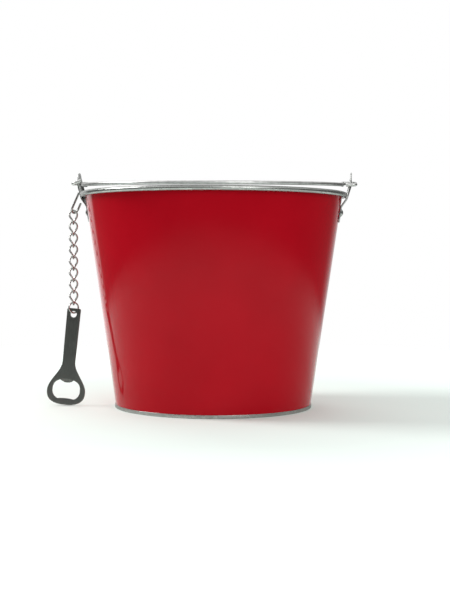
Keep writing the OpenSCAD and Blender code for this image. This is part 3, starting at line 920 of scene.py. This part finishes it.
def opening_outline():
    """A full oval with an arched lower edge, and a curved tab standing into it from above."""
    rise, fall, power, arch_r, steps = 9.1, 8.8, 2.5, 40.0, 120
    arch_top = OPENER_L - 5.8
    loop = []
    for index in range(steps):
        turn = 2 * math.pi * index / steps
        c, s = math.cos(turn), math.sin(turn)
        x = math.copysign(OPENING_HALF * abs(c) ** (2 / power), c)
        y = math.copysign((rise if s > 0 else fall) * abs(s) ** (2 / power), s) - OPENING_MID
        if s > 0 and abs(x) < TAB_HALF:
            y = min(y, TAB_R - TAB_REACH - math.sqrt(TAB_R**2 - x**2))
        if s < 0:
            y = max(y, math.sqrt(arch_r**2 - x**2) - arch_r - arch_top)
        loop.append((x, y))
    return loop


def tab_dip(x, y):
    """How far the tab is pressed back from the plate, from 0 to 1."""
    dip_r, wider, above, soft = 3.9, 1.5, 1.0, 0.7
    reach = math.hypot(x / wider, y + TAB_REACH + above)
    return ease((dip_r - reach) / soft)


def make_opener(metal):
    """The opener, hung by its hole from the ring, with its tab pressed back."""
    holes = [opening_outline(), circle((0, -HOLE_DOWN), HOLE_R, 48)]
    points, faces = plate(opener_outline(), holes, OPENER_T, OPENER_EDGE, spacing=0.8)
    ring_wire = pivot("opener_swing")
    hole = ring_wire - HOLE_BELOW_RING * UPWARD
    hung = Matrix((ACROSS, FACING, UPWARD)).transposed() @ Matrix.Rotation(-CHAIN_TURN, 3, "Z")
    lean = hung @ Matrix.Rotation(OPENER_LEAN - math.atan2(UPWARD.x, UPWARD.z), 3, "Y")
    across, face, up = (lean @ Vector(v) for v in ((1, 0, 0), (0, -1, 0), (0, 0, 1)))
    placed = []
    for x, y, depth in points:
        pressed = depth - TAB_PRESS * tab_dip(x, y)
        placed.append(hole + across * x + up * (y + HOLE_DOWN) + face * pressed)
    make_piece("flat_opener", placed, faces, "opener", ["bottle_opener"], [metal])


# ---- Floor and light ----

FLOOR_R = 0.72
FLOOR_FADE_R = 0.50
FLOOR_DROP = 0.00002
# Painted light: how strongly the floor glows, and the radii between which the glow rises from nothing.
GLOW = 0.25
GLOW_START_R = 0.22
GLOW_END_R = 0.60
LIGHT_TARGET = Vector((0, 0, 0.1))
STUDIO_TURN = math.radians(-5)


def make_floor():
    mesh = bpy.data.meshes.new("floor")
    edge = [(x, y, -FLOOR_DROP) for x, y in circle((0, 0), FLOOR_R, 96)]
    mesh.from_pydata(edge, [], [tuple(range(len(edge)))])
    mesh.materials.append(pale_floor())
    floor = bpy.data.objects.new("floor", mesh)
    bpy.context.scene.collection.objects.link(floor)


def make_softbox(name, place, size, power):
    """A square lamp that faces the bucket."""
    data = bpy.data.lights.new(name, "AREA")
    data.shape = "RECTANGLE"
    data.size = data.size_y = size
    data.energy = power
    light = bpy.data.objects.new(name, data)
    bpy.context.scene.collection.objects.link(light)
    light.location = place
    light.rotation_mode = "QUATERNION"
    light.rotation_quaternion = (LIGHT_TARGET - Vector(place)).to_track_quat("-Z", "Y")
    light.visible_camera = False


def make_world():
    """A studio: a bright backdrop behind the bucket, a soft ceiling and a dim room in front."""
    world = bpy.data.worlds.new("studio")
    bpy.context.scene.world = world
    world.use_nodes = True
    w = Nodes(world.node_tree)
    turned = w.nodes.new("ShaderNodeMapping")
    turned.inputs["Rotation"].default_value = (0, 0, STUDIO_TURN)
    w.link(w.nodes.new("ShaderNodeTexCoord").outputs["Generated"], turned.inputs["Vector"])
    split = w.nodes.new("ShaderNodeSeparateXYZ")
    w.link(turned.outputs["Vector"], split.inputs["Vector"])
    height = split.outputs["Z"]
    side = w.calc("ARCTAN2", split.outputs["X"], split.outputs["Y"])

    def soft(value, low, high, start, end):
        return w.span(value, low, high, start, end, curve="SMOOTHSTEP")

    def soft_side(low, high, start, end):
        return soft(side, low, high, math.radians(start), math.radians(end))

    width = w.calc("MULTIPLY", soft_side(0, 1, -42, -37), soft_side(1, 0, 22, 46))
    rise = w.calc("MULTIPLY", soft(height, 0, 1, -0.35, -0.1), soft(height, 1, 0, 0.75, 0.95))
    backdrop = w.calc("MULTIPLY", w.calc("MULTIPLY", width, rise), soft_side(1.15, 0.5, -10, 30))
    ceiling = soft(height, 0, 0.78, 0.20, 0.60)
    room = soft(height, 0.22, 0.10, -0.5, 0.3)
    studio = w.nodes["Background"]
    w.link(w.calc("ADD", backdrop, w.calc("MAXIMUM", ceiling, room)), studio.inputs["Strength"])
    plain = w.nodes.new("ShaderNodeBackground")
    mix = w.nodes.new("ShaderNodeMixShader")
    w.link(w.nodes.new("ShaderNodeLightPath").outputs["Is Camera Ray"], mix.inputs["Fac"])
    for background, socket in ((studio, mix.inputs[1]), (plain, mix.inputs[2])):
        background.inputs["Color"].default_value = WHITE
        w.link(background.outputs["Background"], socket)
    w.link(mix.outputs["Shader"], w.nodes["World Output"].inputs["Surface"])


def make_bucket():
    hoop_zinc = zinc("zinc_hoop", HOOP_ZINC, size=3.0, rough=0.30)
    inside_zinc = zinc("zinc_inside", INSIDE_ZINC, size=11.0, rough=0.36)
    plate_zinc = zinc("zinc_plate", PLATE_ZINC, size=4.0, rough=0.28)
    make_wall(red_enamel(), inside_zinc)
    make_rim(hoop_zinc)
    make_base(hoop_zinc, inside_zinc)
    make_ears(plate_zinc)
    make_rivets(plate_zinc)


def make_hardware():
    make_bail(nickel_wire("nickel_bail", BAIL_NICKEL, rough=0.30, edge_tint=0.45))
    nickel = nickel_wire("nickel_chain", CHAIN_NICKEL, rough=0.24, edge_tint=0.35)
    make_hook(nickel)
    make_links(nickel)
    make_ring(nickel)
    make_opener(opener_steel())


make_camera()
make_bucket()
make_hardware()
make_floor()
make_world()
make_softbox("key", (-1.3, 0.05, 1.15), size=0.6, power=16)
make_softbox("fill", (0.9, -1.6, 0.9), size=1.2, power=12)
bpy.context.scene.view_settings.view_transform = "Standard"
